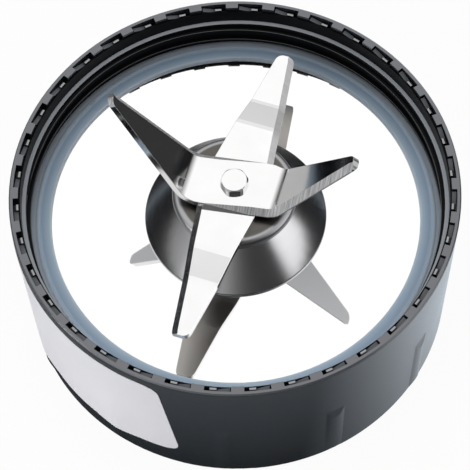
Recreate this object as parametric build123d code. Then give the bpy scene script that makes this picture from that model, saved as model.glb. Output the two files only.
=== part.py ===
from build123d import *
import math
import os

# Blade unit of a kitchen blender, millimetres. The origin is the centre of the
# bottom edge, +Z is the blade axis, and the unit stands on its collar.

# Outer collar: a tapered grip sleeve with ribs outside and teeth round its rim
RIM_R = 50.0
FOOT_TAPER = 1.0
FOOT_ROUND = 0.4
COLLAR_H = 43.5
SKIRT_WALL = 2.1
SLEEVE_WALL = 1.55
RIM_BAND = 0.9
RIM_LINE_DROP = 0.5
RIM_LINE = 0.3
EDGE_BREAK = 0.3
POCKET_DEPTH = 3.0
TOOTH_COUNT = 36
TOOTH_ANGLE = 3.3
TOOTH_PHASE = 8.6
RIB_COUNT = 12
RIB_PHASE = 24.0
RIB_WIDTH = 4.2
RIB_PROUD = 0.45
RIB_HEIGHT = 23.0
RIB_TOP_SLOPE = 3.0
RIB_FOOT_SLOPE = 1.5

# Threaded body: the ring inside the collar that takes the jar
BODY_SEAT_Z = 24.0
MOUTH_WALL = 0.75
LIP_WALL = 0.3
LIP_DROP = 1.1
LEDGE_DROP = 4.7
LEDGE_W = 0.9
SHELF_W = 6.2
SHELF_T = 2.2
BODY_FOOT_WALL = 2.0
CATCH_GAP = 0.2
HOOK_START = 1.3
HOOK_ANGLE = 1.7
HOOK_DROP = 0.9
HOOK_LEAD = 0.5
RAMP_END_GAP = 0.3
RAMP_LOW_DROP = 1.5
RAMP_HIGH_DROP = 0.7

# Base plate and the gasket that wraps its edge
PLATE_DROP = 12.45
PLATE_T = 0.8
PLATE_CLEARANCE = 1.5
GASKET_W = 5.1
GASKET_LIP = 0.8
GASKET_BEAD_IN = 2.1
GASKET_BEAD = 0.25
GASKET_BEAD_W = 0.6
GASKET_EDGE = 0.4
GASKET_FALL = 0.25
GASKET_UNDER = 3.0

# Hub housing: a cone on the plate, a neck for the seal and a threaded stem below
CONE_R = 20.5
CONE_EDGE = 0.25
CONE_ROUND = 0.5
CONE_SLOPE = 43.0
NECK_R = 11.2
NECK_FILLET = 1.8
NECK_H = 10.5
STEM_R = 9.0
STEM_BOTTOM_Z = 12.0
BUSH_R = 6.0
SEAL_R = 7.5
SEAL_DEPTH = 4.5
ORING_R = 13.1
ORING_SECTION_R = 0.75
NUT_FLATS = 24.0
NUT_T = 5.0
NUT_CHAMFER = 0.9
WASHER_R = 13.5
WASHER_T = 0.8

# Lip seal in the neck, with the ring spring that holds its lip
SEAL_WALL = 0.8
SEAL_WEB_SHARE = 0.3
SEAL_LIP_SHARE = 0.7
SEAL_LIP_T = 0.6
SEAL_LIP_FLARE = 0.4
SPRING_WIRE_R = 0.3
SPRING_DROP = 1.5

# Shaft, bushes and the pieces threaded on the shaft
SHAFT_R = 4.0
SEAL_LAND_R = 4.6
RUNNING_GAP = 0.04
FELT_GAP = 0.12
UPPER_BUSH_L = 9.0
LOWER_BUSH_L = 8.0
THRUST_T = 0.8
SLINGER_R = 11.4
SLINGER_T = 1.0
SLINGER_GAP = 0.3
DRIVE_FLATS = 5.2
HEAD_R = 3.1
HEAD_H = 1.4
HEAD_FLATS = 5.7
CIRCLIP_R = 6.0
CIRCLIP_T = 0.85
CIRCLIP_GROOVE = 0.6
CIRCLIP_MOUTH = 50.0

# Drive coupling under the hub
COUPLING_R = 13.0
COUPLING_ROOT_R = 9.5
COUPLING_FLANGE_R = 15.0
COUPLING_FLANGE_T = 1.6
COUPLING_L = 7.5
COUPLING_DOGS = 6
COUPLING_DOG_W = 4.0
INSERT_FLATS = 11.0
SPIGOT_R = 3.5
SPIGOT_FLATS = 5.6
SCREW_R = 2.0
SCREW_HEAD_R = 3.6
SCREW_HEAD_H = 1.6
SCREW_REACH = 9.0

# Blades: stamped strips, ground on the top side of each leading edge
BLADE_T = 1.5
BEVEL = 1.35
BEVEL_LAND = 0.25
EDGE_MIN = 0.08
UPPER_AZIMUTH = -18.0
UPPER_FLAT = 8.4
UPPER_BEND = 54.5
UPPER_BEND_R = 3.6
UPPER_WING = 27.2
UPPER_SHOULDER_S = 7.4
UPPER_SHOULDER_W = 6.8
UPPER_LEAD_S = 5.0
UPPER_LEAD_W = 6.2
UPPER_TIP_LEAD = 2.3
UPPER_TIP_TRAIL = 0.4
UPPER_RUNOUT = (-5.2, 5.0)
LOWER_AZIMUTH = 69.3
LOWER_FLAT = 14.9
LOWER_BEND = 14.0
LOWER_BEND_R = 8.0
LOWER_SLOPE = 6.2
LOWER_ARM = 12.4
LOWER_ROOT_S = 6.0
LOWER_ROOT_W = 6.6
LOWER_TIP_W = 1.95
LOWER_RUNOUT = (3.0, 6.0)
TIP_ROUND = 1.5
TIP_LEAD_SHARE = 0.3
TIP_ANGLES = (0, 25, 45, 65, 80)
BEVEL_SHARE = 0.4
BEND_STEP = 7.0

# Clearance of pieces that are pushed together and do not move
FIT = 0.03
BODY_FIT = 0.1

# Heights and radii that follow from the sizes above
FOOT_R = RIM_R - FOOT_TAPER
SKIRT_R = FOOT_R - SKIRT_WALL
SLEEVE_R = RIM_R - SLEEVE_WALL
POCKET_R = RIM_R - RIM_BAND
POCKET_Z = COLLAR_H - POCKET_DEPTH
BODY_R = SLEEVE_R - BODY_FIT
MOUTH_R = BODY_R - MOUTH_WALL
LIP_R = MOUTH_R + LIP_WALL
CATCH_R = POCKET_R - CATCH_GAP
THREAD_WALL_R = MOUTH_R - LEDGE_W
SHELF_R = THREAD_WALL_R - SHELF_W
PLATE_R = THREAD_WALL_R - PLATE_CLEARANCE
GASKET_IN_R = THREAD_WALL_R - GASKET_W
GASKET_BEAD_R = THREAD_WALL_R - GASKET_BEAD_IN
BODY_TOP_Z = POCKET_Z - BODY_FIT
PLATE_Z = COLLAR_H - PLATE_DROP
PLATE_UNDER_Z = PLATE_Z - PLATE_T
SHELF_Z = PLATE_UNDER_Z - GASKET_LIP
HOUSING_TOP_Z = PLATE_Z + NECK_H
SEAL_FLOOR_Z = HOUSING_TOP_Z - SEAL_DEPTH
SEAL_LIP_R = SEAL_LAND_R + RUNNING_GAP
SEAL_LIP_BACK_R = SEAL_LIP_R + SEAL_LIP_FLARE + SEAL_LIP_T
UPPER_BUSH_TOP_Z = SEAL_FLOOR_Z - THRUST_T - FIT
UPPER_BUSH_Z = UPPER_BUSH_TOP_Z - UPPER_BUSH_L
LOWER_BUSH_TOP_Z = STEM_BOTTOM_Z + LOWER_BUSH_L
SLINGER_Z = HOUSING_TOP_Z + SLINGER_GAP
LOWER_BLADE_Z = SLINGER_Z + SLINGER_T
UPPER_BLADE_Z = LOWER_BLADE_Z + BLADE_T
HEAD_Z = UPPER_BLADE_Z + BLADE_T
LOWER_THRUST_Z = STEM_BOTTOM_Z - RUNNING_GAP - THRUST_T
CIRCLIP_Z = LOWER_THRUST_Z - FIT - CIRCLIP_T
COUPLING_TOP_Z = CIRCLIP_Z - FIT
COUPLING_Z = COUPLING_TOP_Z - COUPLING_L
INSERT_Z = COUPLING_Z + WASHER_T
NUT_Z = PLATE_UNDER_Z - WASHER_T - NUT_T


def turned(*edges):
    """A turned piece: a closed half section in (radius, height), spun about Z."""
    return revolve(Plane.XZ * make_face(list(edges)), Axis.Z)


def turned_outline(*points):
    """A turned piece whose half section has straight sides only."""
    return turned(Polyline(*points, close=True))


def ring(inner_r, outer_r, low_z, high_z):
    """A plain washer or sleeve."""
    corners = ((inner_r, low_z), (outer_r, low_z), (outer_r, high_z), (inner_r, high_z))
    return turned_outline(*corners)


def disc(radius, low_z, high_z):
    """A plain round bar on the axis."""
    return Pos(0, 0, low_z) * extrude(Circle(radius), high_z - low_z)


def hex_bar(flats, low_z, high_z):
    """A six-sided bar on the axis, given by its width across flats."""
    outline = RegularPolygon(flats / 2, 6, major_radius=False)
    return Pos(0, 0, low_z) * extrude(outline, high_z - low_z)


def flatted_bar(radius, flats, low_z, high_z):
    """A round bar with two flats."""
    outline = Circle(radius) & Rectangle(flats, 2 * radius)
    return Pos(0, 0, low_z) * extrude(outline, high_z - low_z)


def ring_block(inner_r, outer_r, angle, low_z, high_z):
    """A block cut from a ring, centred on +X."""
    inner = CenterArc((0, 0), inner_r, -angle / 2, angle)
    outer = CenterArc((0, 0), outer_r, -angle / 2, angle)
    sides = (Line(inner @ 0, outer @ 0), Line(inner @ 1, outer @ 1))
    return Pos(0, 0, low_z) * extrude(make_face([inner, outer, *sides]), high_z - low_z)


def around(piece, count, phase):
    """Copies of a piece, evenly spaced about the axis."""
    return [Rot(0, 0, phase + index * 360 / count) * piece for index in range(count)]


def wall_r(z):
    """Outer radius of the collar's taper at a height above its rounded foot."""
    return FOOT_R + FOOT_TAPER * (z - FOOT_ROUND) / (COLLAR_H - FOOT_ROUND)


def collar_ribs():
    """Upright grip ribs: round-faced bars that lean with the wall and fade out at both ends."""
    rib_r = (RIB_WIDTH**2 / 4 + RIB_PROUD**2) / (2 * RIB_PROUD)
    low_z = FOOT_ROUND + RIB_FOOT_SLOPE
    high_z = RIB_HEIGHT - RIB_TOP_SLOPE
    envelope = turned_outline(
        (SKIRT_R, FOOT_ROUND),
        (FOOT_R, FOOT_ROUND),
        (wall_r(low_z) + RIB_PROUD, low_z),
        (wall_r(high_z) + RIB_PROUD, high_z),
        (wall_r(RIB_HEIGHT), RIB_HEIGHT),
        (SKIRT_R, RIB_HEIGHT),
    )
    lean = math.degrees(math.atan2(FOOT_TAPER, COLLAR_H - FOOT_ROUND))
    bar = Rot(0, lean, 0) * extrude(Circle(rib_r), RIB_HEIGHT)
    placed = Pos(FOOT_R + RIB_PROUD - rib_r, 0, FOOT_ROUND) * bar
    return [envelope & rib for rib in around(placed, RIB_COUNT, RIB_PHASE)]


def outer_collar():
    foot = (FOOT_R - FOOT_ROUND, 0)
    foot_end = (FOOT_R, FOOT_ROUND)
    line_z = COLLAR_H - RIM_LINE_DROP
    blank = turned(
        Line((0, 0), foot),
        RadiusArc(foot, foot_end, -FOOT_ROUND),
        Polyline(
            foot_end,
            (wall_r(line_z - RIM_LINE), line_z - RIM_LINE),
            (wall_r(line_z) - RIM_LINE, line_z - RIM_LINE),
            (wall_r(line_z) - RIM_LINE, line_z),
            (wall_r(line_z), line_z),
            (wall_r(COLLAR_H - EDGE_BREAK), COLLAR_H - EDGE_BREAK),
            (RIM_R - EDGE_BREAK, COLLAR_H),
            (0, COLLAR_H),
            (0, 0),
        ),
    )
    bore = turned_outline(
        (0, 0),
        (SKIRT_R, 0),
        (SKIRT_R, BODY_SEAT_Z),
        (SLEEVE_R, BODY_SEAT_Z),
        (SLEEVE_R, POCKET_Z),
        (POCKET_R, POCKET_Z),
        (POCKET_R, COLLAR_H),
        (0, COLLAR_H),
    )
    tooth = ring_block(LIP_R + FIT, POCKET_R + RIM_BAND / 4, TOOTH_ANGLE, POCKET_Z, COLLAR_H)
    return (blank + collar_ribs()) - bore + around(tooth, TOOTH_COUNT, TOOTH_PHASE)


def catch():
    """A snap hook with a sloping top and the ramp beside it, behind the lip and between two teeth."""
    inner_r = (MOUTH_R + LIP_R) / 2
    middle_r = (inner_r + CATCH_R) / 2
    tooth_side = (360 / TOOTH_COUNT - TOOTH_ANGLE) / 2
    hook_start = HOOK_START - tooth_side
    hook_low, hook_high, ramp_end = (
        math.radians(angle) * middle_r
        for angle in (hook_start, hook_start + HOOK_ANGLE, tooth_side - RAMP_END_GAP)
    )
    foot_z = BODY_TOP_Z - BODY_FIT
    hook_z = COLLAR_H - HOOK_DROP
    ramp_z = COLLAR_H - RAMP_LOW_DROP
    inner_face = Plane(origin=(inner_r, 0, 0), x_dir=(0, 1, 0), z_dir=(1, 0, 0))

    def slab(*points):
        return extrude(inner_face * make_face(Polyline(*points, close=True)), CATCH_R - inner_r)

    lead = turned_outline(
        (MOUTH_R, foot_z),
        (CATCH_R, foot_z),
        (CATCH_R, hook_z - HOOK_LEAD),
        (CATCH_R - HOOK_LEAD, hook_z),
        (MOUTH_R, hook_z),
    )
    hook = lead & slab((hook_low, foot_z), (hook_low, hook_z), (hook_high, hook_z), (hook_high, foot_z))
    ramp = slab(
        (hook_low, foot_z),
        (hook_low, ramp_z),
        (hook_high, ramp_z),
        (ramp_end, COLLAR_H - RAMP_HIGH_DROP),
        (ramp_end, foot_z),
    )
    return hook + ramp - ring(BODY_R - FIT, RIM_R, BODY_SEAT_Z, POCKET_Z + BODY_FIT)


def threaded_body():
    ledge_z = COLLAR_H - LEDGE_DROP
    foot_r = BODY_R - BODY_FOOT_WALL
    wall = turned_outline(
        (foot_r, BODY_SEAT_Z),
        (BODY_R, BODY_SEAT_Z),
        (BODY_R, BODY_TOP_Z),
        (LIP_R, BODY_TOP_Z),
        (LIP_R, COLLAR_H - LIP_DROP),
        (MOUTH_R, COLLAR_H - LIP_DROP),
        (MOUTH_R, ledge_z),
        (THREAD_WALL_R, ledge_z),
        (THREAD_WALL_R, SHELF_Z),
        (SHELF_R, SHELF_Z),
        (SHELF_R, SHELF_Z - SHELF_T),
        (foot_r, SHELF_Z - SHELF_T),
    )
    return wall + around(catch(), TOOTH_COUNT, TOOTH_PHASE + 180 / TOOTH_COUNT)


def rim_gasket():
    outer_r = THREAD_WALL_R - BODY_FIT
    lip_z = PLATE_Z + GASKET_LIP
    inner_side = (GASKET_IN_R, lip_z - GASKET_EDGE)
    inner_top = (GASKET_IN_R + GASKET_EDGE, lip_z)
    bead_start = (GASKET_BEAD_R - GASKET_BEAD_W, lip_z)
    bead_top = (GASKET_BEAD_R, lip_z + GASKET_BEAD)
    bead_end = (GASKET_BEAD_R + GASKET_BEAD_W, lip_z)
    return turned(
        Line((GASKET_IN_R, PLATE_Z), inner_side),
        RadiusArc(inner_side, inner_top, GASKET_EDGE),
        Line(inner_top, bead_start),
        ThreePointArc(bead_start, bead_top, bead_end),
        Polyline(
            bead_end,
            (outer_r, lip_z - GASKET_FALL),
            (outer_r, SHELF_Z),
            (PLATE_R - GASKET_UNDER, SHELF_Z),
            (PLATE_R - GASKET_UNDER, PLATE_UNDER_Z),
            (PLATE_R + FIT, PLATE_UNDER_Z),
            (PLATE_R + FIT, PLATE_Z),
            (GASKET_IN_R, PLATE_Z),
        ),
    )


def base_plate():
    return ring(STEM_R + FIT, PLATE_R, PLATE_UNDER_Z, PLATE_Z)


def hub_housing():
    slope = math.radians(CONE_SLOPE)
    cone_side = (CONE_R, PLATE_Z + CONE_EDGE)
    foot_r = CONE_R - CONE_ROUND * (1 - math.sin(slope))
    foot_z = PLATE_Z + CONE_EDGE + CONE_ROUND * math.cos(slope)
    cone_foot = (foot_r, foot_z)
    shoulder_r = NECK_R + NECK_FILLET * (1 - math.sin(slope))
    shoulder_z = foot_z + (foot_r - shoulder_r) * math.tan(slope)
    shoulder = (shoulder_r, shoulder_z)
    neck_foot = (NECK_R, shoulder_z + NECK_FILLET * math.cos(slope))
    groove_z = PLATE_Z + 2 * ORING_SECTION_R + FIT
    groove_half = ORING_SECTION_R + BODY_FIT
    return turned(
        Line((CONE_R, PLATE_Z), cone_side),
        RadiusArc(cone_side, cone_foot, -CONE_ROUND),
        Line(cone_foot, shoulder),
        RadiusArc(shoulder, neck_foot, NECK_FILLET),
        Polyline(
            neck_foot,
            (NECK_R, HOUSING_TOP_Z - EDGE_BREAK),
            (NECK_R - EDGE_BREAK, HOUSING_TOP_Z),
            (SEAL_R, HOUSING_TOP_Z),
            (SEAL_R, SEAL_FLOOR_Z),
            (BUSH_R, SEAL_FLOOR_Z),
            (BUSH_R, STEM_BOTTOM_Z),
            (STEM_R - EDGE_BREAK, STEM_BOTTOM_Z),
            (STEM_R, STEM_BOTTOM_Z + EDGE_BREAK),
            (STEM_R, PLATE_Z),
            (ORING_R - groove_half, PLATE_Z),
            (ORING_R - groove_half, groove_z),
            (ORING_R + groove_half, groove_z),
            (ORING_R + groove_half, PLATE_Z),
            (CONE_R, PLATE_Z),
        ),
    )


def flange_oring():
    return Pos(0, 0, PLATE_Z + ORING_SECTION_R) * Torus(ORING_R, ORING_SECTION_R - FIT / 2)


def lock_washer():
    return ring(STEM_R + FIT, WASHER_R, PLATE_UNDER_Z - WASHER_T, PLATE_UNDER_Z)


def hub_nut():
    top_z = NUT_Z + NUT_T
    corner_r = NUT_FLATS / math.sqrt(3)
    chamfered = turned_outline(
        (0, NUT_Z),
        (NUT_FLATS / 2, NUT_Z),
        (corner_r, NUT_Z + NUT_CHAMFER),
        (corner_r, top_z),
        (0, top_z),
    )
    return (hex_bar(NUT_FLATS, NUT_Z, top_z) & chamfered) - disc(STEM_R + FIT, NUT_Z, top_z)


def shaft_seal():
    """Cup section: an outer wall, a web and a lip that leans on the shaft."""
    low_z = SEAL_FLOOR_Z
    high_z = HOUSING_TOP_Z - EDGE_BREAK
    web_z = low_z + (high_z - low_z) * SEAL_WEB_SHARE
    lip_z = low_z + (high_z - low_z) * SEAL_LIP_SHARE
    outer_r = SEAL_R - FIT
    root_r = SEAL_LIP_R + SEAL_LIP_FLARE
    return turned_outline(
        (outer_r, low_z),
        (outer_r, high_z),
        (outer_r - SEAL_WALL, high_z),
        (outer_r - SEAL_WALL, web_z),
        (SEAL_LIP_BACK_R, web_z),
        (SEAL_LIP_BACK_R, high_z - EDGE_BREAK),
        (root_r, high_z - EDGE_BREAK),
        (SEAL_LIP_R, lip_z),
        (root_r, web_z),
        (root_r, low_z),
    )


def seal_spring():
    ring_r = SEAL_LIP_BACK_R + SPRING_WIRE_R + FIT
    return Pos(0, 0, HOUSING_TOP_Z - SPRING_DROP) * Torus(ring_r, SPRING_WIRE_R)


def bush(low_z, high_z):
    return ring(SHAFT_R + RUNNING_GAP, BUSH_R - FIT, low_z, high_z)


def upper_bush():
    return bush(UPPER_BUSH_Z, UPPER_BUSH_TOP_Z)


def lower_bush():
    return bush(STEM_BOTTOM_Z, LOWER_BUSH_TOP_Z)


def oil_felt():
    return ring(SHAFT_R + FELT_GAP, BUSH_R - FIT, LOWER_BUSH_TOP_Z, UPPER_BUSH_Z)


def upper_thrust_washer():
    low_z = UPPER_BUSH_TOP_Z + RUNNING_GAP
    return ring(SHAFT_R + FIT, BUSH_R - EDGE_BREAK, low_z, low_z + THRUST_T - RUNNING_GAP)


def lower_thrust_washer():
    return ring(SHAFT_R + FIT, BUSH_R + EDGE_BREAK, LOWER_THRUST_Z, LOWER_THRUST_Z + THRUST_T)


def slinger_washer():
    washer = disc(SLINGER_R, SLINGER_Z, LOWER_BLADE_Z)
    return washer - hex_bar(DRIVE_FLATS + 2 * FIT, SLINGER_Z, LOWER_BLADE_Z)


def shaft():
    """Stepped shaft: spigot for the coupling, bearing land, seal land, hexagon and peened head."""
    shoulder_z = UPPER_BUSH_TOP_Z + THRUST_T + FIT
    groove_low_z = CIRCLIP_Z - FIT / 2
    groove_high_z = CIRCLIP_Z + CIRCLIP_T + FIT / 2
    body = flatted_bar(SPIGOT_R, SPIGOT_FLATS, INSERT_Z, COUPLING_TOP_Z)
    body += disc(SHAFT_R, COUPLING_TOP_Z, shoulder_z)
    body += disc(SEAL_LAND_R, shoulder_z, SLINGER_Z)
    body += hex_bar(DRIVE_FLATS, SLINGER_Z, HEAD_Z)
    head_edge = HEAD_H / 4
    dome = turned_outline(
        (0, HEAD_Z),
        (HEAD_R, HEAD_Z),
        (HEAD_R, HEAD_Z + HEAD_H - head_edge),
        (HEAD_R - head_edge, HEAD_Z + HEAD_H),
        (0, HEAD_Z + HEAD_H),
    )
    body += hex_bar(HEAD_FLATS, HEAD_Z, HEAD_Z + HEAD_H) & dome
    body -= ring(SHAFT_R - CIRCLIP_GROOVE, SHAFT_R + FIT, groove_low_z, groove_high_z)
    return body - disc(SCREW_R + FIT, INSERT_Z, INSERT_Z + SCREW_REACH + FIT)


def circlip():
    """An open ring that snaps into the shaft's groove."""
    inner_r = SHAFT_R - CIRCLIP_GROOVE + FIT
    return ring_block(inner_r, CIRCLIP_R, 360 - CIRCLIP_MOUTH, CIRCLIP_Z, CIRCLIP_Z + CIRCLIP_T)


def drive_coupling():
    """Dog coupling: a flange and a ring of upright dogs round a hub, on a metal insert."""
    flange_z = COUPLING_TOP_Z - COUPLING_FLANGE_T
    dog_length = COUPLING_R - COUPLING_ROOT_R / 2
    dog = Pos(COUPLING_R - dog_length / 2, 0) * Rectangle(dog_length, COUPLING_DOG_W)
    section = (Circle(COUPLING_ROOT_R) + around(dog, COUPLING_DOGS, 0)) & Circle(COUPLING_R)
    body = Pos(0, 0, COUPLING_Z) * extrude(section, COUPLING_L)
    body += disc(COUPLING_FLANGE_R, flange_z, COUPLING_TOP_Z)
    return body - hex_bar(INSERT_FLATS + 2 * FIT, COUPLING_Z, COUPLING_TOP_Z)


def coupling_insert():
    bore = flatted_bar(SPIGOT_R + FIT, SPIGOT_FLATS + 2 * FIT, INSERT_Z, COUPLING_TOP_Z)
    return hex_bar(INSERT_FLATS, INSERT_Z, COUPLING_TOP_Z) - bore


def coupling_washer():
    return ring(SCREW_R + FIT, INSERT_FLATS / 2 - EDGE_BREAK, COUPLING_Z, INSERT_Z)


def coupling_screw():
    """Pan head screw with a cross recess, up into the end of the shaft."""
    head_z = COUPLING_Z - SCREW_HEAD_H
    head = turned_outline(
        (0, head_z),
        (SCREW_HEAD_R - EDGE_BREAK, head_z),
        (SCREW_HEAD_R, head_z + EDGE_BREAK),
        (SCREW_HEAD_R, COUPLING_Z),
        (0, COUPLING_Z),
    )
    recess_arm = Rectangle(SCREW_HEAD_R, SCREW_HEAD_R / 5)
    recess = Pos(0, 0, head_z) * extrude(recess_arm + Rot(0, 0, 90) * recess_arm, SCREW_HEAD_H / 2)
    return head + disc(SCREW_R, COUPLING_Z, INSERT_Z + SCREW_REACH) - recess


def interpolate(points, s):
    """Height at s of a broken line through (s, height) points in rising order."""
    if s <= points[0][0]:
        return points[0][1]
    for (s0, w0), (s1, w1) in zip(points, points[1:]):
        if s <= s1:
            return w0 + (w1 - w0) * (s - s0) / (s1 - s0)
    return points[-1][1]


class StripPath:
    """Middle line of half a bent strip: straight runs and bends, by length along the strip."""

    def __init__(self, *moves):
        self.pieces = []
        s, u, z, tilt = 0.0, 0.0, 0.0, 0.0
        for length, turn in moves:
            self.pieces.append((s, u, z, tilt, length, turn))
            u, z, tilt = self.along(u, z, tilt, length, turn, length)
            s += length
        self.length = s

    @staticmethod
    def along(u, z, tilt, length, turn, distance):
        if turn == 0:
            return u + distance * math.cos(tilt), z + distance * math.sin(tilt), tilt
        radius = length / turn
        end = tilt + turn * distance / length
        u += radius * (math.sin(end) - math.sin(tilt))
        z -= radius * (math.cos(end) - math.cos(tilt))
        return u, z, end

    def at(self, s):
        """Place and tilt at s; the other half mirrors it."""
        piece = [p for p in self.pieces if p[0] <= abs(s)][-1]
        start, u, z, tilt, length, turn = piece
        u, z, tilt = self.along(u, z, tilt, length, turn, abs(s) - start)
        return (u, z, tilt) if s >= 0 else (-u, z, -tilt)

    def stops(self):
        """Lengths where a bend starts, ends or needs a section between."""
        found = []
        for start, _, _, _, length, turn in self.pieces:
            steps = max(1, math.ceil(abs(math.degrees(turn)) / BEND_STEP))
            found += [start + length * step / steps for step in range(steps + 1)]
        return found


def strip(path, half_width, runout):
    """A bent strip, the same turned half round, with a bevel on each leading edge.

    half_width gives the leading side for s > 0 and the trailing side for s < 0.
    runout gives where the bevel starts and where it reaches its full width.
    """
    bevel_line = [(runout[0], EDGE_MIN), (runout[1], BEVEL)]
    depth = (BLADE_T - BEVEL_LAND) / BEVEL
    tip_start = path.length - TIP_ROUND
    tip_stops = [tip_start + TIP_ROUND * math.sin(math.radians(angle)) for angle in TIP_ANGLES]
    marks = [s for s in path.stops() if s < tip_start] + tip_stops
    marks += [abs(s) for s, _ in half_width[1:-1]] + [abs(s) for s in runout]
    marks = sorted({round(sign * s, 4) for s in marks for sign in (1, -1)})

    def side(s):
        past = max(0.0, abs(s) - tip_start) / TIP_ROUND
        inset = TIP_ROUND * (1 - math.sqrt(1 - past**2))
        share = TIP_LEAD_SHARE if s > 0 else 1
        return interpolate(half_width, s) - share * inset

    sections = []
    for s in marks:
        u, z, tilt = path.at(s)
        front, back = side(s), side(-s)
        limit = BEVEL_SHARE * (front + back)
        front_bevel = min(limit, interpolate(bevel_line, s))
        back_bevel = min(limit, interpolate(bevel_line, -s))
        outline = Polyline(
            (-front, -BLADE_T / 2),
            (back, -BLADE_T / 2),
            (back, BLADE_T / 2 - back_bevel * depth),
            (back - back_bevel, BLADE_T / 2),
            (-front + front_bevel, BLADE_T / 2),
            (-front, BLADE_T / 2 - front_bevel * depth),
            close=True,
        )
        across = Plane(
            origin=(u, 0, z),
            x_dir=(0, 1, 0),
            z_dir=(math.cos(tilt), 0, math.sin(tilt)),
        )
        sections.append(across * make_face(outline))
    return loft(sections, ruled=True)


def mounted(blade, azimuth, under_z):
    """Turn a strip to its place on the shaft and cut its drive hole."""
    placed = Pos(0, 0, under_z + BLADE_T / 2) * Rot(0, 0, azimuth) * blade
    return placed - hex_bar(DRIVE_FLATS + 2 * FIT, under_z, under_z + BLADE_T)


def upper_blade():
    bend = math.radians(UPPER_BEND)
    path = StripPath((UPPER_FLAT, 0), (UPPER_BEND_R * bend, bend), (UPPER_WING, 0))
    half_width = [
        (-path.length, UPPER_TIP_TRAIL),
        (-UPPER_SHOULDER_S, UPPER_SHOULDER_W),
        (UPPER_LEAD_S, UPPER_LEAD_W),
        (path.length, UPPER_TIP_LEAD),
    ]
    return mounted(strip(path, half_width, UPPER_RUNOUT), UPPER_AZIMUTH, UPPER_BLADE_Z)


def lower_blade():
    bend = math.radians(LOWER_BEND)
    path = StripPath(
        (LOWER_FLAT, 0),
        (LOWER_BEND_R * bend, -bend),
        (LOWER_SLOPE, 0),
        (LOWER_BEND_R * bend, bend),
        (LOWER_ARM, 0),
    )
    half_width = [
        (-path.length, LOWER_TIP_W),
        (-LOWER_ROOT_S, LOWER_ROOT_W),
        (LOWER_ROOT_S, LOWER_ROOT_W),
        (path.length, LOWER_TIP_W),
    ]
    return mounted(strip(path, half_width, LOWER_RUNOUT), LOWER_AZIMUTH, LOWER_BLADE_Z)


SUB_PARTS = (
    outer_collar,
    threaded_body,
    rim_gasket,
    base_plate,
    hub_housing,
    flange_oring,
    lock_washer,
    hub_nut,
    shaft_seal,
    seal_spring,
    upper_bush,
    lower_bush,
    oil_felt,
    shaft,
    slinger_washer,
    lower_blade,
    upper_blade,
    upper_thrust_washer,
    lower_thrust_washer,
    circlip,
    drive_coupling,
    coupling_insert,
    coupling_washer,
    coupling_screw,
)

os.makedirs("parts", exist_ok=True)
for make in SUB_PARTS:
    export_step(make(), f"parts/{make.__name__}.step")
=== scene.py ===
import math
import bpy
from mathutils import Matrix, Vector

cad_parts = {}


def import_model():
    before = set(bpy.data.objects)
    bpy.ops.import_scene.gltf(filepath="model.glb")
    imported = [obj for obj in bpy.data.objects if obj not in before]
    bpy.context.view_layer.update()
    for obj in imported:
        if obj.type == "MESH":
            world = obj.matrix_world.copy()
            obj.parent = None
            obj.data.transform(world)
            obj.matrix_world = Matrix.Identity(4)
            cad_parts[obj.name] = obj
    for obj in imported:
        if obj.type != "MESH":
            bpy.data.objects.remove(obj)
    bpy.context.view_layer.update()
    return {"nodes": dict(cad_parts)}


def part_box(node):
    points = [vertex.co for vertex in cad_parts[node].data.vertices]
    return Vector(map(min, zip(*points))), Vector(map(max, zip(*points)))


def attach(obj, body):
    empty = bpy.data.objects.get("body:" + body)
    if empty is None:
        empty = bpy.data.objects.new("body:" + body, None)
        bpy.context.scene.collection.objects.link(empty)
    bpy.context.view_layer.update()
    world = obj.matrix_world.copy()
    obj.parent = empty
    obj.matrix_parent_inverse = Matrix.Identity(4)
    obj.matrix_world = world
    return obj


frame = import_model()

# Sizes are in millimetres, in the part's frame: +Z is the blade axis and the collar stands on z = 0
MM = 0.001
UP = (0, 0, 1)
BACK = (0, 1, 0)

# Collar, and the lip of the ring inside it
RIM_R = 50.0
FOOT_R = 49.0
FOOT_ROUND = 0.4
COLLAR_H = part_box("outer_collar")[1].z / MM
RIB_COUNT = 12
RIB_PHASE = 24.0
RIB_PROUD = 0.45
RIB_HEIGHT = 23.0
LIP_R = 47.95
LIP_Z = 41.0

# Faces of an added piece that meet at a wider angle than this keep a sharp edge
SHARP_ANGLE = 35.0

# Screw ridges: a section with chamfered crest edges, in shares of the half width and of the depth
RIDGE_SECTION = ((-1.0, 0.0), (-0.7, 0.85), (-0.5, 1.0), (0.5, 1.0), (0.7, 0.85), (1.0, 0.0))
RIDGE_STEPS_PER_TURN = 180
RIDGE_ROOT = 0.05
RIDGE_LEAST_SIZE = 0.02
RIDGE_END_WIDTH = 0.4
RIDGE_SHARP_ANGLE = 20.0

# Jar thread inside the mouth: one ridge that winds up the wall
JAR_THREAD_R = 46.7
JAR_THREAD_DEPTH = 0.7
JAR_THREAD_WIDTH = 1.0
JAR_THREAD_PITCH = 3.8
JAR_THREAD_LOW_Z = 32.0
JAR_THREAD_START = -15.0
JAR_THREAD_TURNS = 1.55
JAR_THREAD_FADE = 25.0

# Stem thread below the hub nut: a ridge that stands outwards
STEM_THREAD_R = 9.0
STEM_THREAD_DEPTH = -0.4
STEM_THREAD_WIDTH = 1.1
STEM_THREAD_PITCH = 1.5
STEM_THREAD_LOW_Z = 13.0
STEM_THREAD_START = 0.0
STEM_THREAD_TURNS = 7.0
STEM_THREAD_FADE = 60.0

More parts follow.
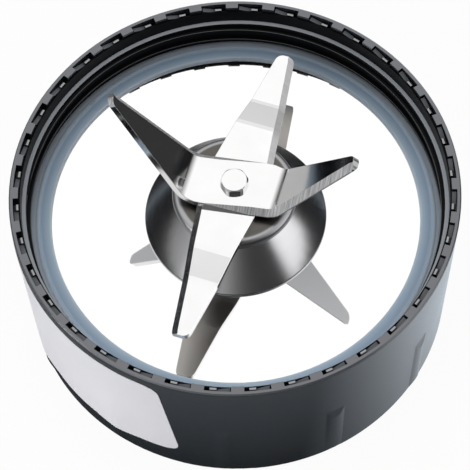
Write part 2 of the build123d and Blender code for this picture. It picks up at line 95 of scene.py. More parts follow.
# Rolled edge of the slinger washer under the blades
SLINGER_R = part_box("slinger_washer")[1].x / MM
SLINGER_OVERLAP = 0.02
SLINGER_DROP = 0.03
SLINGER_TOP_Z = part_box("slinger_washer")[1].z / MM - SLINGER_DROP
SLINGER_ROLL_START = 12.5
SLINGER_ROLL = 1.4
SLINGER_ROLL_T = 1.8
# Radii across which the painted shade under the blades gives way to the plain steel
SLINGER_PAINTED_SHADE = (12.0, 12.6)
ROLL_STEPS = 12
RING_STEPS = 144

# Bare paper label: its corners as azimuth and height on the collar, and how it lies there
LABEL_RIGHT = ((252.6, 7.8), (248.3, 40.6))
LABEL_LEFT = ((183.0, 4.6), (181.0, 40.6))
LABEL_CORNER = 3.2
LABEL_T = 0.1
LABEL_LIFT = 0.05
LABEL_TENT = 6.0
LABEL_TENT_FADE = 4.0
LABEL_COLUMNS = 120
LABEL_ROWS = 48

# Materials: scales of noise are in cells per metre
NOISE_DETAIL = 3.0
FINE_DETAIL = 2.0
NOISE_ROUGHNESS = 0.55
PLASTIC_CLOUD = 60.0
PLASTIC_ROUGH_SWING = 0.05
METAL_CLOUD = 40.0
METAL_ROUGH_SWING = 0.2

# Masks: start and end of the upward share of a normal, or the middle and reach of a tilt
# The top and level shares pick the faces that take painted light, the underside share the blade
# undersides that take painted shade, and the crest edge tilt the edges that take a painted highlight
PAINTED_LIGHT_TOP_SHARE = (0.5, 0.85)
PAINTED_LIGHT_LEVEL_SHARE = (0.975, 0.99)
UNDERSIDE_SHARE = (-0.3, -0.5)
CREST_EDGE_TILT = (0.72, 0.12)
BEVEL_TILT = (0.65, 0.25)

# Blade steel: brushed along the strip, with grinding marks across the bevels; near the middle, the
# finish of one end's bevels changes to that of the other end's
UPPER_AZIMUTH = -18.0
LOWER_AZIMUTH = 69.3
BLADE_CLOUD = 160.0
FACE_TONES = ((0.825, 0.825, 0.82), (0.90, 0.90, 0.90))
FACE_ROUGH = 0.09
UNDERSIDE_ROUGH = 0.3
BRUSH_SCALE = 900.0
BRUSH_DRAW = (12.0, 1.0, 1.0)
BRUSH_STRENGTH = 0.05
MARK_SCALE = 5600.0
MARK_DRAW = (1.0, 30.0, 30.0)
MARK_RANGE = (0.35, 0.65)
MARK_STRENGTH = 0.45
MARK_DEPTH = 0.04
FINISH_CHANGE = (-2.0, 2.0)

# Gasket: its blue-grey tones from the inner edge to the outer one, with painted light and shade across
# the ring, and a painted shade that dims them towards the back
GASKET_IN_R = 41.6
GASKET_OUT_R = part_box("rim_gasket")[1].x / MM
GASKET_TONES_WITH_PAINTED_LIGHT = (
    (0.0, (0.66, 0.76, 0.86)),
    (0.12, (0.50, 0.64, 0.79)),
    (0.40, (0.36, 0.49, 0.65)),
    (0.56, (0.41, 0.53, 0.67)),
    (0.66, (0.60, 0.69, 0.79)),
    (1.0, (0.46, 0.52, 0.60)),
)
GASKET_PAINTED_SHADE = (1.0, 0.66)
GASKET_PAINTED_SHADE_Y = (0.0, 38.0)

# Camera, fitted to the photograph; the aim is measured right and up from the rim's centre
CAMERA_ELEVATION = 61.736
CAMERA_DISTANCE = 474.28
CAMERA_ROLL = -2.440
CAMERA_AIM = (-0.351, -10.324)
CAMERA_LENS = 164.47
CAMERA_CLIP = 10.0
SENSOR = 36.0

# Floor: how white the camera sees it, and the painted glow that glossy faces mirror from it: painted
# light on its lit side and its far parts, painted shadow near the collar
FLOOR_R = 250.0
FLOOR_SIDES = 96
FLOOR_DROP = 0.2
FLOOR_TONE = 0.9
FLOOR_GLOW = 0.95
MIRRORED_TINT = (0.91, 1.0, 1.09)
LIT_SIDE = (0.906, 0.423, 0.0)
LIT_SIDE_GLOW = (0.0, 0.97)
LIT_SIDE_REACH = (-12.0, 42.0)
FAR_GLOW = (0.06, 0.42)
FAR_REACH = (50.0, 85.0)

# Room: its strength by the rise of a direction, then its soft patches: the strengths outside and inside
# a patch, and the cosines from its middle where its edge starts and ends
ROOM_RISE = (
    (0.0, 0.03), (0.06, 0.11), (0.2, 0.25), (0.35, 0.42), (0.5, 0.62), (0.75, 1.0), (1.0, 0.95),
)
CAMERA_SHADE = (1.15, 0.05, 0.80, 1.0)
FRONT_SHADE = (1.0, 0.06, 0.45, 0.90)
FRONT_SHADE_SIDE = (0.5, -0.866, 0.0)
RIGHT_GLOW = (0.0, 1.15, 0.87, 0.985)
RIGHT_GLOW_SIDE = (0.909, -0.222, 0.354)
LEFT_GLOW = (0.0, 1.0, 0.92, 0.985)
LEFT_GLOW_SIDE = (-0.631, -0.618, 0.470)

# Softboxes: place, width and height, and power in watts
SOFTBOXES = {
    "right_softbox": ((680.0, -160.0, 270.0), (620.0, 450.0), 0.25),
    "left_softbox": ((-500.0, -350.0, 70.0), (400.0, 140.0), 1.5),
}


def metres(values):
    return [value * MM for value in values]


def wall_r(z):
    """Outer radius of the collar at a height."""
    return FOOT_R + (RIM_R - FOOT_R) * (z - FOOT_ROUND) / (COLLAR_H - FOOT_ROUND)


def polar(radius, azimuth, z):
    """A point in metres from a radius, an azimuth in degrees and a height, in millimetres."""
    angle = math.radians(azimuth)
    return (radius * math.cos(angle) * MM, radius * math.sin(angle) * MM, z * MM)


def smooth_step(low, high, value):
    t = min(1.0, max(0.0, (value - low) / (high - low)))
    return t * t * (3 - 2 * t)


def between(low, high, share):
    return low + (high - low) * share


def grey(tone):
    return (tone, tone, tone)


# Node helpers

def new_material(name, metallic=0.0):
    material = bpy.data.materials.new(name)
    material.use_nodes = True
    shader = material.node_tree.nodes["Principled BSDF"]
    shader.inputs["Metallic"].default_value = metallic
    return material, material.node_tree, shader


def add(tree, kind, **values):
    """A node with its properties and unlinked inputs set."""
    node = tree.nodes.new("ShaderNode" + kind)
    for key, value in values.items():
        if hasattr(node, key):
            setattr(node, key, value)
        else:
            node.inputs[key].default_value = value
    return node


def join(tree, source, target):
    tree.links.new(source, target)


def math_node(tree, operation, first, second=None):
    """A Math node; each side is a number or an output."""
    node = add(tree, "Math", operation=operation)
    for socket, value in zip(node.inputs, (first, second)):
        if isinstance(value, bpy.types.NodeSocket):
            join(tree, value, socket)
        elif value is not None:
            socket.default_value = value
    return node.outputs[0]


def object_coords(tree):
    return add(tree, "TexCoord").outputs["Object"]


def object_normal(tree):
    """The surface's own normal, in the object's frame."""
    return add(tree, "TexCoord").outputs["Normal"]


def noise(tree, coords, scale, detail=NOISE_DETAIL):
    node = add(tree, "TexNoise", Scale=scale, Detail=detail, Roughness=NOISE_ROUGHNESS)
    join(tree, coords, node.inputs["Vector"])
    return node.outputs["Fac"]


def stretched(tree, coords, turn, scale):
    """Coordinates turned about Z and then drawn out along each axis."""
    node = add(tree, "Mapping", vector_type="TEXTURE", Rotation=(0, 0, math.radians(turn)), Scale=scale)
    join(tree, coords, node.inputs["Vector"])
    return node.outputs[0]


def spread(tree, fac, low, high, start=0.0, end=1.0, smooth=False):
    """A value that goes from low to high while fac goes from start to end, and stays there outside."""
    node = add(tree, "MapRange", interpolation_type="SMOOTHSTEP" if smooth else "LINEAR")
    join(tree, fac, node.inputs["Value"])
    for socket, value in zip(("From Min", "From Max", "To Min", "To Max"), (start, end, low, high)):
        node.inputs[socket].default_value = value
    return node.outputs[0]


def near(tree, value, middle, reach):
    """1 where a value lies within reach of the middle, and 0 elsewhere."""
    output = math_node(tree, "COMPARE", value, middle)
    output.node.inputs[2].default_value = reach
    return output


def two_tone(tree, fac, first, second):
    """A mix of two tones; each is a colour or an output."""
    node = add(tree, "Mix", data_type="RGBA")
    join(tree, fac, node.inputs[0])
    for socket, tone in zip((node.inputs[6], node.inputs[7]), (first, second)):
        if isinstance(tone, bpy.types.NodeSocket):
            join(tree, tone, socket)
        else:
            socket.default_value = (*tone, 1)
    return node.outputs[2]


def ramp(tree, fac, stops):
    """A colour ramp from (position, grey or colour) stops in rising order."""
    node = add(tree, "ValToRGB")
    elements = node.color_ramp.elements
    while len(elements) < len(stops):
        elements.new(0.5)
    for element, (place, tone) in zip(elements, stops):
        element.position = place
        element.color = (*tone, 1) if isinstance(tone, tuple) else (*grey(tone), 1)
    join(tree, fac, node.inputs[0])
    return node.outputs[0]


def bump(tree, shader, height, depth):
    node = add(tree, "Bump", Strength=1.0, Distance=depth * MM)
    join(tree, height, node.inputs["Height"])
    join(tree, node.outputs[0], shader.inputs["Normal"])
    return node


def mix_shaders(tree, fac, first, second):
    node = add(tree, "MixShader")
    for socket, output in zip(node.inputs, (fac, first, second)):
        join(tree, output, socket)
    return node.outputs[0]


def seen_directly(tree):
    """1 where the camera sees a thing itself, and 0 where it is mirrored or only lights the part."""
    path = add(tree, "LightPath")
    return math_node(tree, "MAXIMUM", path.outputs["Is Camera Ray"], path.outputs["Is Transmission Ray"])


def along(tree, coords, axis):
    """How far coordinates or a direction reach along an axis."""
    node = add(tree, "VectorMath", operation="DOT_PRODUCT")
    join(tree, coords, node.inputs[0])
    node.inputs[1].default_value = axis
    return node.outputs["Value"]


def radius_and_height(tree, coords):
    parts = add(tree, "SeparateXYZ")
    join(tree, coords, parts.inputs[0])
    squares = [math_node(tree, "MULTIPLY", parts.outputs[i], parts.outputs[i]) for i in (0, 1)]
    return math_node(tree, "SQRT", math_node(tree, "ADD", *squares)), parts.outputs[2]


def upward_mask(tree, share):
    """0 to 1 as the upward share of the surface's normal goes from its start to its end."""
    return spread(tree, along(tree, object_normal(tree), UP), 0.0, 1.0, *share, smooth=True)


def mouth_masks(tree, coords):
    """Two masks: 1 inside the mouth, and 0 on the thin lip above its ledge."""
    radius, height = radius_and_height(tree, coords)
    inside = math_node(tree, "LESS_THAN", radius, LIP_R * MM)
    above = math_node(tree, "GREATER_THAN", height, LIP_Z * MM)
    off_the_lip = math_node(tree, "SUBTRACT", 1.0, math_node(tree, "MULTIPLY", inside, above))
    return inside, off_the_lip


# Materials

def moulded_plastic(
    name, dark, light, rough, grain, depth, top=None, level=None, ledge=None, index=1.5, sheen=0.5,
):
    """Moulded plastic: fine grain, a sheen that varies a little, and paler tops that are painted light.

    Level tops can take paler painted light than sloping ones, and the ledge in the mouth a painted
    highlight of its own.
    """
    material, tree, shader = new_material(name)
    shader.inputs["IOR"].default_value = index
    shader.inputs["Specular IOR Level"].default_value = sheen
    coords = object_coords(tree)
    clouds = noise(tree, coords, PLASTIC_CLOUD)
    tone = two_tone(tree, clouds, dark, light)
    # Painted light: faces that look up take paler tones, standing in for the light they catch from above,
    # and the ledge takes a painted highlight
    if top:
        inside, off_the_lip = mouth_masks(tree, coords)
        up = math_node(tree, "MULTIPLY", upward_mask(tree, PAINTED_LIGHT_TOP_SHARE), off_the_lip)
        painted_light_top = two_tone(tree, upward_mask(tree, PAINTED_LIGHT_LEVEL_SHARE), top, level or top)
        tone = two_tone(tree, up, tone, two_tone(tree, inside, painted_light_top, ledge or top))
    join(tree, tone, shader.inputs["Base Color"])
    rough_range = (rough - PLASTIC_ROUGH_SWING, rough + PLASTIC_ROUGH_SWING)
    join(tree, spread(tree, clouds, *rough_range), shader.inputs["Roughness"])
    bump(tree, shader, noise(tree, coords, grain, FINE_DETAIL), depth)
    return material


def crest_highlight_plastic(name, dark, painted_crest_highlight, rough, sheen):
    """Black plastic with a painted highlight on its slanting crest edges."""
    material, tree, shader = new_material(name)
    shader.inputs["Roughness"].default_value = rough
    shader.inputs["Specular IOR Level"].default_value = sheen
    edge = near(tree, along(tree, object_normal(tree), UP), *CREST_EDGE_TILT)
    join(tree, two_tone(tree, edge, dark, painted_crest_highlight), shader.inputs["Base Color"])
    return material


def turned_metal(name, dark, light, rough, rings, depth):
    """Metal turned on a lathe: fine rings about the axis."""
    material, tree, shader = new_material(name, metallic=1.0)
    coords = object_coords(tree)
    radius, height = radius_and_height(tree, coords)
    across = add(tree, "CombineXYZ")
    join(tree, radius, across.inputs[0])
    join(tree, height, across.inputs[1])
    lines = noise(tree, across.outputs[0], rings, FINE_DETAIL)
    join(tree, two_tone(tree, noise(tree, coords, METAL_CLOUD), dark, light), shader.inputs["Base Color"])
    rough_range = (rough * (1 - METAL_ROUGH_SWING), rough * (1 + METAL_ROUGH_SWING))
    join(tree, spread(tree, lines, *rough_range), shader.inputs["Roughness"])
    bump(tree, shader, lines, depth)
    return material


def metal_with_painted_shade(name, painted_shade_tone, unshaded_tone, rough, painted_shade_end):
    """Metal painted dark near the axis, a painted shade under the blades, and plain outside a radius."""
    material, tree, shader = new_material(name, metallic=1.0)
    shader.inputs["Roughness"].default_value = rough
    radius, _ = radius_and_height(tree, object_coords(tree))
    bright = spread(tree, radius, 0.0, 1.0, *metres(painted_shade_end), smooth=True)
    join(tree, two_tone(tree, bright, painted_shade_tone, unshaded_tone), shader.inputs["Base Color"])
    return material


def ground_strip(name, azimuth, bevel_rough, mark_tones, painted_underside_shade):
    """Blade steel: brushed along the strip, cross grinding marks on the bevels, and a rougher underside
    whose darker tone is painted shade.

    The bevels at the strip's two ends have a roughness each.
    """
    material, tree, shader = new_material(name, metallic=1.0)
    coords = object_coords(tree)
    lengthwise = Vector((math.cos(math.radians(azimuth)), math.sin(math.radians(azimuth)), 0))
    sideways = Vector((-lengthwise.y, lengthwise.x, 0))
    tilt = math_node(tree, "ABSOLUTE", along(tree, object_normal(tree), sideways))
    bevel = near(tree, tilt, *BEVEL_TILT)
    # Undersides take a darker tone: painted shade under the blade
    below = upward_mask(tree, UNDERSIDE_SHARE)
    brushed = noise(tree, stretched(tree, coords, azimuth, BRUSH_DRAW), BRUSH_SCALE, FINE_DETAIL)
    hatch = noise(tree, stretched(tree, coords, azimuth, MARK_DRAW), MARK_SCALE, FINE_DETAIL)
    marks = spread(tree, hatch, 0.0, 1.0, *MARK_RANGE)
    face_tone = two_tone(tree, noise(tree, coords, BLADE_CLOUD), *FACE_TONES)
    top_tone = two_tone(tree, bevel, face_tone, two_tone(tree, marks, *mark_tones))
    join(tree, two_tone(tree, below, top_tone, painted_underside_shade), shader.inputs["Base Color"])
    ground = spread(tree, along(tree, coords, lengthwise), *bevel_rough, *metres(FINISH_CHANGE))
    rough = math_node(tree, "MULTIPLY", bevel, ground)
    rough = math_node(tree, "MAXIMUM", rough, spread(tree, below, FACE_ROUGH, UNDERSIDE_ROUGH))
    join(tree, rough, shader.inputs["Roughness"])
    grain = add(tree, "Mix")
    join(tree, bevel, grain.inputs[0])
    join(tree, brushed, grain.inputs[2])
    join(tree, marks, grain.inputs[3])
    relief = bump(tree, shader, grain.outputs[0], MARK_DEPTH)
    join(tree, spread(tree, bevel, BRUSH_STRENGTH, MARK_STRENGTH), relief.inputs["Strength"])
    return material


def silicone(name, rough, cloud, grain, depth, milkiness, light_depth):
    """Cloudy silicone rubber, with painted light and shade across the ring and a painted shade that dims
    it at the back of the mouth.
    """
    material, tree, shader = new_material(name)
    coords = object_coords(tree)
    radius, _ = radius_and_height(tree, coords)
    # The tones across the ring carry painted light and shade on top of the blue-grey colour
    across = spread(tree, radius, 0.0, 1.0, GASKET_IN_R * MM, GASKET_OUT_R * MM)
    # Painted shade: the tone dims towards the back, where the collar's wall would shade it
    dim = spread(tree, along(tree, coords, BACK), *GASKET_PAINTED_SHADE, *metres(GASKET_PAINTED_SHADE_Y))
    tone = add(tree, "VectorMath", operation="SCALE")
    join(tree, ramp(tree, across, GASKET_TONES_WITH_PAINTED_LIGHT), tone.inputs[0])
    join(tree, dim, tone.inputs["Scale"])
    join(tree, tone.outputs[0], shader.inputs["Base Color"])
    join(tree, spread(tree, noise(tree, coords, cloud), *rough), shader.inputs["Roughness"])
    shader.inputs["Subsurface Weight"].default_value = milkiness
    shader.inputs["Subsurface Radius"].default_value = metres(light_depth)
    shader.inputs["Subsurface Scale"].default_value = 1.0
    bump(tree, shader, noise(tree, coords, grain), depth)
    return material


def paper(name, dark, light, rough, cloud, grain, depth):
    """Smooth white label stock."""
    material, tree, shader = new_material(name)
    coords = object_coords(tree)
    clouds = noise(tree, coords, cloud)
    join(tree, two_tone(tree, clouds, dark, light), shader.inputs["Base Color"])
    join(tree, spread(tree, clouds, *rough), shader.inputs["Roughness"])
    bump(tree, shader, noise(tree, coords, grain), depth)
    return material


# The top, level and ledge tones given to these plastics are painted light: paler upward faces, and a
# painted highlight on the ledge in the mouth
BLACK = moulded_plastic(
    "collar_black", dark=(0.008, 0.0098, 0.013), light=(0.012, 0.0145, 0.019), rough=0.2,
    grain=1800.0, depth=0.02, top=(0.150, 0.158, 0.175), index=1.75,
)
GLOSS = moulded_plastic(
    "body_black", dark=(0.003, 0.0032, 0.004), light=(0.005, 0.0053, 0.006), rough=0.3,
    grain=1500.0, depth=0.01, top=(0.15, 0.158, 0.172), level=(0.52, 0.53, 0.54),
    ledge=(0.54, 0.57, 0.61), sheen=0.06,
)
# The crest edge tone is a painted highlight where the thread's crests would catch light
THREAD = crest_highlight_plastic(
    "thread_black", dark=(0.005, 0.0052, 0.006), painted_crest_highlight=(0.13, 0.135, 0.145), rough=0.24, sheen=0.06,
)
NYLON = moulded_plastic(
    "coupling_black", dark=(0.022, 0.022, 0.024), light=(0.034, 0.034, 0.036), rough=0.5,
    grain=1600.0, depth=0.03,
)
NATURAL = moulded_plastic(
    "washer_natural", dark=(0.66, 0.64, 0.58), light=(0.74, 0.72, 0.66), rough=0.45,
    grain=1600.0, depth=0.02,
)
RUBBER = moulded_plastic(
    "seal_black", dark=grey(0.014), light=grey(0.022), rough=0.6, grain=1400.0, depth=0.03,
)
FELT = moulded_plastic(
    "oiled_felt", dark=(0.30, 0.27, 0.21), light=(0.46, 0.42, 0.34), rough=0.9,
    grain=2600.0, depth=0.2,
)
MIRROR = turned_metal(
    "plate_steel", dark=grey(0.90), light=grey(0.94), rough=0.03, rings=1400.0, depth=0.0002,
)
POLISHED = turned_metal(
    "hub_steel", dark=(0.56, 0.56, 0.57), light=(0.64, 0.64, 0.65), rough=0.19,
    rings=2600.0, depth=0.002,
)
PLAIN = turned_metal(
    "plain_steel", dark=(0.46, 0.46, 0.47), light=(0.56, 0.56, 0.57), rough=0.3,
    rings=2600.0, depth=0.006,
)
BRONZE = turned_metal(
    "bush_bronze", dark=(0.45, 0.29, 0.14), light=(0.55, 0.37, 0.19), rough=0.38,
    rings=2000.0, depth=0.01,
)
# The slinger's dark tone near the axis is painted shade under the blades
SLINGER = metal_with_painted_shade(
    "slinger_steel", painted_shade_tone=(0.120, 0.113, 0.105), unshaded_tone=(0.40, 0.40, 0.41), rough=0.32,
    painted_shade_end=SLINGER_PAINTED_SHADE,
)
# The grinding marks are real, but the darker tone of the upper strip's marks is painted shade, standing
# in for the dim front its bevels mirror
UPPER_STEEL = ground_strip(
    "upper_blade_steel", UPPER_AZIMUTH, bevel_rough=(0.75, 0.75),
    mark_tones=((0.36, 0.36, 0.365), (0.68, 0.68, 0.69)), painted_underside_shade=(0.68, 0.69, 0.71),
)
LOWER_STEEL = ground_strip(
    "lower_blade_steel", LOWER_AZIMUTH, bevel_rough=(0.15, 0.6),
    mark_tones=((0.80, 0.80, 0.805), (0.98, 0.98, 0.985)), painted_underside_shade=(0.50, 0.48, 0.455),
)
SILICONE = silicone(
    "gasket_silicone", rough=(0.3, 0.42), cloud=90.0, grain=700.0, depth=0.02,
    milkiness=0.3, light_depth=(1.0, 1.3, 1.6),
)
PAPER = paper(
    "label_paper", dark=(0.83, 0.83, 0.87), light=(0.88, 0.88, 0.91), rough=(0.38, 0.5),
    cloud=45.0, grain=160.0, depth=0.06,
)

NODE_MATERIALS = {
    "outer_collar": BLACK,
    "threaded_body": GLOSS,
    "rim_gasket": SILICONE,
    "base_plate": MIRROR,
    "hub_housing": POLISHED,
    "flange_oring": RUBBER,
    "lock_washer": PLAIN,
    "hub_nut": PLAIN,
    "shaft_seal": RUBBER,
    "seal_spring": PLAIN,
    "upper_bush": BRONZE,
    "lower_bush": BRONZE,
    "oil_felt": FELT,
    "shaft": UPPER_STEEL,
    "slinger_washer": SLINGER,
    "lower_blade": LOWER_STEEL,
    "upper_blade": UPPER_STEEL,
    "upper_thrust_washer": NATURAL,
    "lower_thrust_washer": NATURAL,
    "circlip": PLAIN,
    "drive_coupling": NYLON,
    "coupling_insert": PLAIN,
    "coupling_washer": PLAIN,
    "coupling_screw": PLAIN,
}
for node, material in NODE_MATERIALS.items():
    frame["nodes"][node].data.materials[0] = material


# Pieces that the solids leave to the looks

def add_piece(name, verts, faces, material, body, sharp_angle=SHARP_ANGLE):
    mesh = bpy.data.meshes.new(name)
    mesh.from_pydata(verts, [], faces)
    mesh.shade_smooth()
    mesh.set_sharp_from_angle(angle=math.radians(sharp_angle))
    mesh.materials.append(material)
    obj = bpy.data.objects.new(name, mesh)
    bpy.context.scene.collection.objects.link(obj)
    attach(obj, body)
    return obj


def swept(sections):
    """Verts and faces of a closed bar through rings of points, capped at both ends."""
    count = len(sections[0])
    verts = [point for section in sections for point in section]
    faces = []
    for row in range(len(sections) - 1):
        for k in range(count):
            a = row * count + k
            b = row * count + (k + 1) % count
            faces.append((a, b, b + count, a + count))
    last = (len(sections) - 1) * count
    faces.append(tuple(reversed(range(count))))
    faces.append(tuple(range(last, last + count)))
    return verts, faces


def helix_ridge(name, material, body, wall, depth, width, pitch, low_z, start, turns, fade):
    """A screw ridge on a round wall; a positive depth stands inwards, and both ends fade out."""
    steps = int(turns * RIDGE_STEPS_PER_TURN)
    root_r = wall + math.copysign(RIDGE_ROOT, depth)
    sections = []
    for i in range(steps + 1):
        turn = turns * 360 * i / steps
        size = smooth_step(0, fade, turn) * smooth_step(0, fade, turns * 360 - turn)
        size = max(size, RIDGE_LEAST_SIZE)
        half = width / 2 * between(RIDGE_END_WIDTH, 1.0, size)
        z = low_z + pitch * turn / 360
        azimuth = start + turn
        section = [polar(wall - depth * rise * size, azimuth, z + t * half) for t, rise in RIDGE_SECTION]
        section.append(polar(root_r, azimuth, z + half))
        section.append(polar(root_r, azimuth, z - half))
        sections.append(section)
    return add_piece(name, *swept(sections), material, body, RIDGE_SHARP_ANGLE)


def turned_ring(name, outline, material, body):
    """A closed ring: an outline of (radius, height) points turned about the axis."""
    count = len(outline)
    verts = [polar(r, 360 * step / RING_STEPS, z) for step in range(RING_STEPS) for r, z in outline]
    faces = []
    for step in range(RING_STEPS):
        here = step * count
        ahead = (step + 1) % RING_STEPS * count
        for k in range(count):
            after = (k + 1) % count
            faces.append((here + k, ahead + k, ahead + after, here + after))
    return add_piece(name, verts, faces, material, body)


def slinger_edge():
    """The washer's edge, rolled over to a rounded rim."""
    low_z = SLINGER_TOP_Z - SLINGER_ROLL_T
    inner_r = SLINGER_R - SLINGER_OVERLAP
    outline = [(inner_r, low_z), (SLINGER_ROLL_START + SLINGER_ROLL, low_z)]
    for step in range(ROLL_STEPS + 1):
        angle = math.pi / 2 * step / ROLL_STEPS
        outline.append((
            SLINGER_ROLL_START + SLINGER_ROLL * math.cos(angle),
            SLINGER_TOP_Z - SLINGER_ROLL * (1 - math.sin(angle)),
        ))
    outline.append((inner_r, SLINGER_TOP_Z))
    return turned_ring("slinger_edge", outline, SLINGER, "rotor")


def label_rise(azimuth, z):
    """How far the paper stands off the wall where it tents over a rib."""
    pitch = 360 / RIB_COUNT
    offset = (azimuth - RIB_PHASE + pitch / 2) % pitch - pitch / 2
    across = abs(math.radians(offset)) * wall_r(z)
    fade = 1 - smooth_step(RIB_HEIGHT - LABEL_TENT_FADE, RIB_HEIGHT + LABEL_TENT_FADE, z)
    return RIB_PROUD * max(0.0, 1 - across / LABEL_TENT) * fade


def label_row(t):
    """Places along the paper, as azimuth and height, at a share of its height from its lower edge."""
    right = [between(low, high, t) for low, high in zip(*LABEL_RIGHT)]
    left = [between(low, high, t) for low, high in zip(*LABEL_LEFT)]
    height = LABEL_RIGHT[1][1] - LABEL_RIGHT[0][1]
    length = math.radians(right[0] - left[0]) * RIM_R
    into_corner = LABEL_CORNER - height * min(t, 1 - t)
    inset = 0.0
    if into_corner > 0:
        inset = LABEL_CORNER - math.sqrt(LABEL_CORNER**2 - into_corner**2)
    places = []
    for column in range(LABEL_COLUMNS + 1):
        share = between(inset / length, 1 - inset / length, column / LABEL_COLUMNS)
        places.append([between(start, end, share) for start, end in zip(right, left)])
    return places


def sheet_faces(columns, rows):
    """Faces of a thin closed sheet whose front grid of points is followed by its back one."""
    width = columns + 1
    shift = width * (rows + 1)
    faces = []
    for row in range(rows):
        for column in range(columns):
            a = row * width + column
            faces.append((a + width, a + width + 1, a + 1, a))
            faces.append((a + shift, a + 1 + shift, a + 1 + width + shift, a + width + shift))
    edge = [row * width for row in range(rows + 1)]
    edge += [rows * width + column for column in range(1, width)]
    edge += [row * width + columns for row in range(rows - 1, -1, -1)]
    edge += list(range(columns - 1, 0, -1))
    for a, b in zip(edge, edge[1:] + edge[:1]):
        faces.append((a, a + shift, b + shift, b))
    return faces


def label():
    """Bare paper with rounded corners, laid on the collar between its right and left edges."""
    front, back = [], []
    for row in range(LABEL_ROWS + 1):
        for azimuth, z in label_row(row / LABEL_ROWS):
            radius = wall_r(z) + label_rise(azimuth, z) + LABEL_LIFT
            front.append(polar(radius + LABEL_T, azimuth, z))
            back.append(polar(radius, azimuth, z))
    faces = sheet_faces(LABEL_COLUMNS, LABEL_ROWS)
    return add_piece("blank_label", front + back, faces, PAPER, "collar")


jar_thread = helix_ridge(
    "jar_thread", THREAD, "collar",
    wall=JAR_THREAD_R, depth=JAR_THREAD_DEPTH, width=JAR_THREAD_WIDTH, pitch=JAR_THREAD_PITCH,
    low_z=JAR_THREAD_LOW_Z, start=JAR_THREAD_START, turns=JAR_THREAD_TURNS, fade=JAR_THREAD_FADE,
)
stem_thread = helix_ridge(
    "stem_thread", POLISHED, "collar",
    wall=STEM_THREAD_R, depth=STEM_THREAD_DEPTH, width=STEM_THREAD_WIDTH, pitch=STEM_THREAD_PITCH,
    low_z=STEM_THREAD_LOW_Z, start=STEM_THREAD_START, turns=STEM_THREAD_TURNS, fade=STEM_THREAD_FADE,
)
slinger_edge()
label()


# Camera, floor and light

def camera_axes():
    """Right, up and back of the camera before its roll."""
    elevation = math.radians(CAMERA_ELEVATION)
    right = Vector((1, 0, 0))
    up = Vector((0, math.sin(elevation), math.cos(elevation)))
    back = Vector((0, -math.cos(elevation), math.sin(elevation)))
    return right, up, back


def camera():
    right, up, back = camera_axes()
    roll = math.radians(CAMERA_ROLL)
    aim = Vector((0, 0, COLLAR_H)) + right * CAMERA_AIM[0] + up * CAMERA_AIM[1]
    place = (aim + back * CAMERA_DISTANCE) * MM
    side = right * math.cos(roll) + up * math.sin(roll)
    top = up * math.cos(roll) - right * math.sin(roll)
    data = bpy.data.cameras.new("camera")
    data.lens = CAMERA_LENS
    data.sensor_width = SENSOR
    data.clip_start = CAMERA_CLIP * MM
    obj = bpy.data.objects.new("camera", data)
    obj.matrix_world = Matrix.Translation(place) @ Matrix((side, top, back)).transposed().to_4x4()
    bpy.context.scene.collection.objects.link(obj)
    bpy.context.scene.camera = obj


def painted_floor_glow(tree):
    """The floor as the collar's side mirrors it: a painted light at the right and a painted shadow in
    front.
    """
    coords = object_coords(tree)
    radius, _ = radius_and_height(tree, coords)
    # Painted light on the right side of the floor and painted shadow in front, as glossy faces see it
    lit = spread(tree, along(tree, coords, LIT_SIDE), *LIT_SIDE_GLOW, *metres(LIT_SIDE_REACH))
    far = spread(tree, radius, *FAR_GLOW, *metres(FAR_REACH))
    return math_node(tree, "MAXIMUM", lit, far)


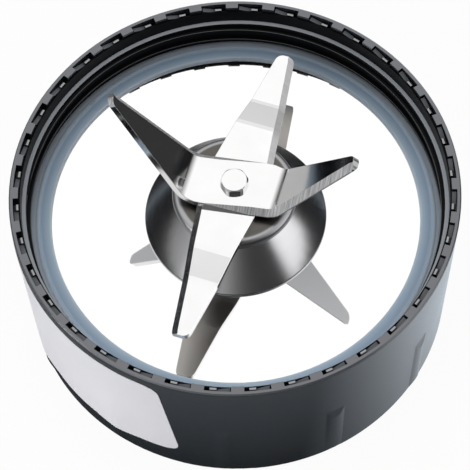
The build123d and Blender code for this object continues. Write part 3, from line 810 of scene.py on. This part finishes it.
def floor():
    """A pale floor that is nearly white to the camera, and dimmer in the part's reflections, where it
    shows a painted light and a painted shadow.
    """
    bpy.ops.mesh.primitive_circle_add(
        vertices=FLOOR_SIDES, radius=FLOOR_R * MM, fill_type="NGON", location=(0, 0, -FLOOR_DROP * MM),
    )
    obj = bpy.context.object
    obj.name = "floor"
    material, tree, shader = new_material("floor_white")
    tree.nodes.remove(shader)
    matt = add(tree, "BsdfDiffuse", Color=(*grey(FLOOR_TONE), 1))
    white = add(tree, "Emission", Color=(*grey(1.0), 1), Strength=1.0)
    mirrored = add(tree, "Emission", Color=(*MIRRORED_TINT, 1))
    join(tree, painted_floor_glow(tree), mirrored.inputs["Strength"])
    glow = math_node(tree, "MULTIPLY", seen_directly(tree), FLOOR_GLOW)
    plain = mix_shaders(tree, glow, matt.outputs[0], white.outputs[0])
    glossy = add(tree, "LightPath").outputs["Is Glossy Ray"]
    surface = mix_shaders(tree, glossy, plain, mirrored.outputs[0])
    join(tree, surface, tree.nodes["Material Output"].inputs["Surface"])
    obj.data.materials.append(material)


def patch(tree, direction, middle, limits):
    """The strength of a soft round patch of the room about a direction."""
    return spread(tree, along(tree, direction, middle), *limits, smooth=True)


def world():
    """A pale room: bright above and behind, dim in front, with a soft glow at each side."""
    studio = bpy.data.worlds.new("studio")
    studio.use_nodes = True
    bpy.context.scene.world = studio
    tree = studio.node_tree
    direction = add(tree, "TexCoord").outputs["Generated"]
    rise = ramp(tree, along(tree, direction, UP), ROOM_RISE)
    camera_shade = patch(tree, direction, camera_axes()[2], CAMERA_SHADE)
    front_shade = patch(tree, direction, FRONT_SHADE_SIDE, FRONT_SHADE)
    walls = math_node(tree, "MULTIPLY", rise, math_node(tree, "MULTIPLY", camera_shade, front_shade))
    right = patch(tree, direction, RIGHT_GLOW_SIDE, RIGHT_GLOW)
    left = patch(tree, direction, LEFT_GLOW_SIDE, LEFT_GLOW)
    strength = math_node(tree, "MAXIMUM", walls, math_node(tree, "MAXIMUM", right, left))
    room = tree.nodes["Background"]
    room.inputs["Color"].default_value = (*grey(1.0), 1)
    join(tree, strength, room.inputs["Strength"])
    white = add(tree, "Background", Color=(*grey(1.0), 1), Strength=1.0)
    surface = mix_shaders(tree, seen_directly(tree), room.outputs[0], white.outputs[0])
    join(tree, surface, tree.nodes["World Output"].inputs["Surface"])


def softbox(name, place, size, power):
    """A rectangular light that looks at the origin."""
    data = bpy.data.lights.new(name, "AREA")
    data.shape = "RECTANGLE"
    data.size, data.size_y = metres(size)
    data.energy = power
    obj = bpy.data.objects.new(name, data)
    obj.location = metres(place)
    obj.rotation_euler = (-Vector(place)).to_track_quat("-Z", "Y").to_euler()
    bpy.context.scene.collection.objects.link(obj)


camera()
floor()
world()
for name, (place, size, power) in SOFTBOXES.items():
    softbox(name, place, size, power)
bpy.context.scene.view_settings.view_transform = "Standard"
